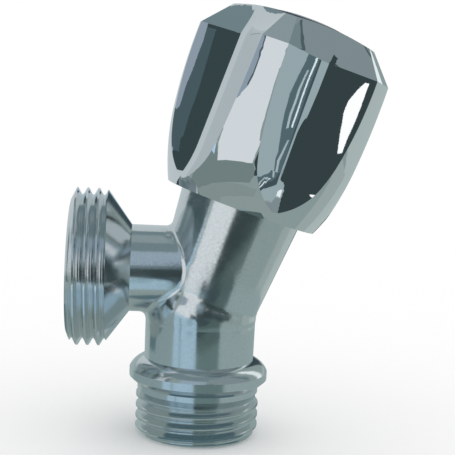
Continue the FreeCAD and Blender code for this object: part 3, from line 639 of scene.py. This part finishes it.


# Painted reflections in the tent: each glowing sheet paints one patch of what the chrome mirrors, dark, grey
# or near white, given as a name, a colour and its corners.
TENT_REFLECTION_SHEETS = (
    ("surround", 0x869493, ((-180, -89), (180, -89), (180, 89), (-180, 89))),
    ("ceiling", 0x6d7f83, ((-180, 60), (-170, 59), (-160, 56.5), (-150, 56), (-140, 55), (-130, 53),
                           (-120, 51.5), (-112, 50), (180, 50), (180, 89), (-180, 89))),
    ("skylight", 0x849295, ((-180, 76), (180, 76), (180, 89.5), (-180, 89.5))),
    ("left_wall", 0xb3bcbf, ((-180, -10), (-60, -10), (-60, 50), (-112, 50), (-120, 51.5), (-130, 53),
                             (-140, 55), (-150, 56), (-160, 56.5), (-180, 60))),
    ("left_dark", 0x344244, ((-66.5, 33.5), (-66.5, 21), (-59, 21), (-59, 34), (-60, 46), (-66, 46))),
    ("left_dim", 0x46585d, ((-66.8, 21.2), (-64.05, 21.2), (-63.9, 24), (-63.6, 27), (-63.4, 30),
                            (-63.2, 33), (-66.8, 33))),
    ("left_blue", 0x8a97a3, ((-66.8, 33.8), (-64.3, 33.8), (-64.4, 31.5), (-64.7, 29), (-65.05, 26.8),
                             (-65.2, 24.8), (-65.45, 24.4), (-66.8, 25.5))),
    ("left_low_dark", 0x35464a, ((-120, 7), (-116, 13), (-75, 13), (-62, 8), (-60.5, 5), (-64, 2),
                                 (-75, 4), (-95, 6))),
    ("left_low_dim", 0x627478, ((-122, 2), (-120, 7), (-95, 6), (-75, 4), (-64, 2), (-66, -3), (-80, -1),
                                (-100, 2))),
    ("table_left", 0x7f8d8b, ((-150, -12), (-95, -16), (-60, -17), (-20, -23), (0, -27), (0, -40),
                              (-150, -40))),
    ("table_middle", 0x879592, ((-45, -26), (-20, -28), (0, -30), (38, -34), (38, -50), (-45, -50))),
    ("table_dark", 0x566765, ((-9, -19), (38, -19), (34, -27), (6, -27.5), (0, -24))),
    ("table_right", 0x869594, ((38, -15), (88, -15), (88, -50), (38, -50))),
    ("table_between", 0x95a2a0, ((88, -15), (112, -15), (112, -50), (88, -50))),
    ("table_far_right", 0xa3afae, ((88, 3), (150, 3), (150, -45), (112, -45), (112, -16), (88, -13))),
    ("window_foot", 0x6f7e7d, ((-100, -12), (-75, -7), (-66, -4), (-60, 0), (-57.5, -8), (-15, -14),
                               (-9, -20.5), (-12, -23), (-60, -17.5), (-95, -16))),
    ("window_corner", 0x8896a2, ((-50, 15), (-44, 15.8), (-40, 17), (-37.5, 19.5), (-36, 24),
                                 (-36.2, 29.5), (-45, 32), (-52, 24))),
    ("window_line", 0x4a595f, ((-40, 17), (-37.5, 19.5), (-36, 24), (-36.2, 30), (-37.3, 30), (-37.4, 24),
                               (-38.6, 20.5), (-41, 17.8))),
    ("window", 0xced3d6, ((-57.5, -9), (-15, -15), (-14.5, -4), (-14, 8), (-13, 24), (-36.2, 30),
                          (-36, 24), (-37.5, 19.5), (-40, 17), (-44, 15.8), (-50, 15), (-53.5, 9),
                          (-54, 5), (-58, 0))),
    ("window_edge", 0xa9c6dc, ((-67, -1.5), (-61.5, 3), (-60.5, -2), (-62, -5.5))),
    ("front_high", 0x8fa0ac, ((-36.2, 31), (-12.8, 24.5), (-12, 12), (1, 12), (1.5, 17), (6, 31),
                              (12, 37), (12, 49), (-40, 49))),
    ("front_dim", 0x66777e, ((-12.5, 4.5), (1, 4.5), (1, 12.5), (-12.5, 12.5))),
    ("right_high", 0x7c898c, ((12, 26), (30, 19.5), (45, 14.5), (60, 9.5), (75, 6.5), (90, 5), (98, 20),
                              (95, 60), (30, 60), (14, 50))),
    ("right_line", 0x4c5b5e, ((82, 52), (85.5, 52), (90, 38), (96, 24), (93.5, 21), (87.5, 35))),
    ("right_end", 0x6f8082, ((85.5, 52), (96, 47), (104, 32), (99, 21), (96, 24), (90, 38))),
    ("right_light", 0x93a4a7, ((13, 14), (20, 10), (30, 4), (46, -1), (62, -5.5), (62, -9), (76, -12),
                               (84, -12), (85, 5), (75, 6), (60, 9), (45, 14), (30, 19), (16, 24))),
    ("right_white", 0xe2e9eb, ((24, 13), (40, 8), (56, 5), (58, 8.5), (44, 12.5), (28, 18))),
    ("front_dark", 0x333f41, ((-9, -20.5), (-13.5, -14.5), (-13, -4), (-12, 4.5), (1, 4.5), (1.5, 17),
                              (6, 31), (12, 37), (26, 37), (20, 22), (14, 16), (20, 9.5), (30, 3.5),
                              (46, -1), (62, -5.5), (60, -9), (42, -13), (36, -16), (30, -20.5))),
    ("back_white", 0xdfe6e8, ((113, 4), (127, 4), (131, 46), (117, 46))),
    ("back_dark", 0x35434a, ((153, -12), (176, -12), (172, 44), (150, 44))),
    ("back_blue", 0x9bb3c2, ((176, -12), (180, -12), (180, 40), (172, 44))),
    ("slit", 0xfdfdff, ((6.6, 8.4), (7.1, 8.5), (7.6, 10), (8.3, 11.6), (9.0, 13.5), (9.7, 15.4),
                        (9.3, 15.5), (8.5, 14.8), (7.6, 13.7), (7.1, 12.5), (6.8, 10.5))),
    ("slats", 0x51656a, ((79.5, 1), (79.5, -0.3), (79.2, -2), (78.9, -4), (78.9, -6), (79.1, -8),
                         (79.35, -10), (79.1, -12.5), (80.3, -12.5), (80.9, -9), (81.2, -5), (81.3, 1))),
    ("slat_grey", 0xa9b9bb, ((80.05, -1.2), (79.75, -3.5), (79.65, -6), (79.7, -7.3), (79.5, -7.5),
                             (79.42, -6), (79.55, -3.5), (79.9, -1.2))),
    ("slat_white", 0xdce9eb, ((80.6, 0.5), (80.35, -2), (80.2, -4), (80.1, -7.2), (79.95, -7.2),
                              (80.05, -4), (80.2, -2), (80.4, 0.5))),
    ("slat_foot", 0xa3b2b5, ((80.1, -8.5), (79.8, -10.5), (79.45, -12.5), (79.2, -12.5), (79.55, -10.5),
                             (79.95, -8.5))),
    ("slat_dark", 0x3f4e53, ((80.75, 0.5), (80.5, -3), (80.35, -7), (80.25, -10), (80.0, -12.5),
                             (80.4, -12.5), (80.9, -9), (81.1, -5), (81.3, 0.5))),
)
# Painted reflections on a low round fence: glowing sheets that the barrel, the neck and the threads mirror.
FENCE_REFLECTION_SHEETS = (
    ("fence", 0x7f9193, ((-180, 0.2), (34, 0.2), (34, 17), (0, 21.3), (-10, 22), (-25, 21), (-40, 24),
                         (-50, 25), (-60, 22), (-90, 20), (-180, 18))),
    ("fence_left_end", 0x97a5a6, ((-160, 0.2), (-118, 0.2), (-116, 18), (-160, 18))),
    ("fence_left_dark", 0x566d70, ((-114, 9.5), (-94, 9.5), (-86, 20), (-110, 19))),
    ("fence_blue", 0x98b2c1, ((-52, 0.2), (-9, 0.2), (-9, 14), (-10, 19.5), (-24, 20.5), (-40, 22.5),
                              (-49, 23.5))),
    ("fence_blue_fold", 0x7d95a2, ((-39, 0.2), (-36, 0.2), (-36.5, 20), (-40, 20))),
    ("fence_blue_top", 0xb0c3cc, ((-48, 22.5), (-40, 21.5), (-30, 20), (-23, 19.8), (-21.5, 22),
                                  (-25, 21), (-40, 24), (-50, 25))),
    ("fence_neck", 0x86a0ac, ((-26, 14), (-17, 14), (-17, 20), (-26, 20.6))),
    ("fence_dim", 0x5f7372, ((-8, 0.2), (31, 0.2), (31, 17), (0, 21.3), (-8, 20))),
    ("fence_mid", 0x4d5e5d, ((-9, 11), (31, 13), (31, 17), (22, 20.5), (0, 21.3), (-9, 20))),
    ("fence_dark", 0x37464a, ((-9, 13.5), (5, 14.5), (14, 18), (0, 21.3), (-10, 22), (-18, 24),
                              (-22, 23.5), (-20, 21), (-12, 19.5), (-9.5, 17))),
    ("fence_right", 0x8a9a9a, ((34, 0.2), (180, 0.2), (180, 14), (60, 14), (34, 17))),
)
# Painted dark reflection: a dark glowing ring on the table that makes the threads' lower flanks look dark.
FLOOR_REFLECTION_SHEETS = (
    ("floor_ring", 0x4d646b, ((-48, 11.2), (60, 11.2), (60, 19), (-48, 19))),
)
for reflection_sheets, place in ((TENT_REFLECTION_SHEETS, tent_point), (FENCE_REFLECTION_SHEETS, fence_point), (FLOOR_REFLECTION_SHEETS, floor_point)):
    for layer, (reflection_sheet_name, painted_reflection_colour, corners) in enumerate(reflection_sheets):
        glowing_reflection_sheet(reflection_sheet_name, painted_reflection_colour, corners, layer, place)

table_mesh = bpy.data.meshes.new("table")
table_work = bmesh.new()
bmesh.ops.create_grid(table_work, x_segments=1, y_segments=1, size=TABLE_SIZE)
bmesh.ops.translate(table_work, vec=(0, 0, -TABLE_CLEARANCE), verts=table_work.verts)
table_work.to_mesh(table_mesh)
table_work.free()
table_white = bpy.data.materials.new("white table")
table_white.use_nodes = True
table_finish = table_white.node_tree.nodes["Principled BSDF"].inputs
table_finish["Base Color"].default_value = (1, 1, 1, 1)
table_finish["Roughness"].default_value = 1.0
table_finish["Specular IOR Level"].default_value = 0.0
table_mesh.materials.append(table_white)
stage_object("table", table_mesh)

world = bpy.data.worlds.new("white surroundings")
bpy.context.scene.world = world
world.use_nodes = True
surroundings = world.node_tree.nodes["Background"].inputs
surroundings["Color"].default_value = (1, 1, 1, 1)
surroundings["Strength"].default_value = 1.0
bpy.context.scene.view_settings.view_transform = "Standard"

# Camera
# It stands 17 cm in front of the valve and 5 cm above the table. It looks a little down and
# to the right, and is rolled slightly, as in the photograph.

CAMERA_PLACE = Vector((-0.010072, -0.169866, 0.053106))
CAMERA_YAW = 0.082
CAMERA_PITCH = -0.103
CAMERA_ROLL = 0.047
CAMERA_LENS = 79.975
SENSOR_WIDTH = 36
NEAR_END = 0.01

ahead = Vector((math.sin(CAMERA_YAW) * math.cos(CAMERA_PITCH),
                math.cos(CAMERA_YAW) * math.cos(CAMERA_PITCH), math.sin(CAMERA_PITCH)))
level_right = Vector((math.cos(CAMERA_YAW), -math.sin(CAMERA_YAW), 0))
level_up = level_right.cross(ahead)
right = level_right * math.cos(CAMERA_ROLL) + level_up * math.sin(CAMERA_ROLL)
up = level_up * math.cos(CAMERA_ROLL) - level_right * math.sin(CAMERA_ROLL)
camera_data = bpy.data.cameras.new("camera")
camera_data.lens = CAMERA_LENS
camera_data.sensor_width = SENSOR_WIDTH
camera_data.sensor_fit = "HORIZONTAL"
camera_data.clip_start = NEAR_END
camera = bpy.data.objects.new("camera", camera_data)
bpy.context.scene.collection.objects.link(camera)
turn = Matrix((right, up, -ahead)).transposed()
camera.matrix_world = Matrix.Translation(CAMERA_PLACE) @ turn.to_4x4()
bpy.context.scene.camera = camera
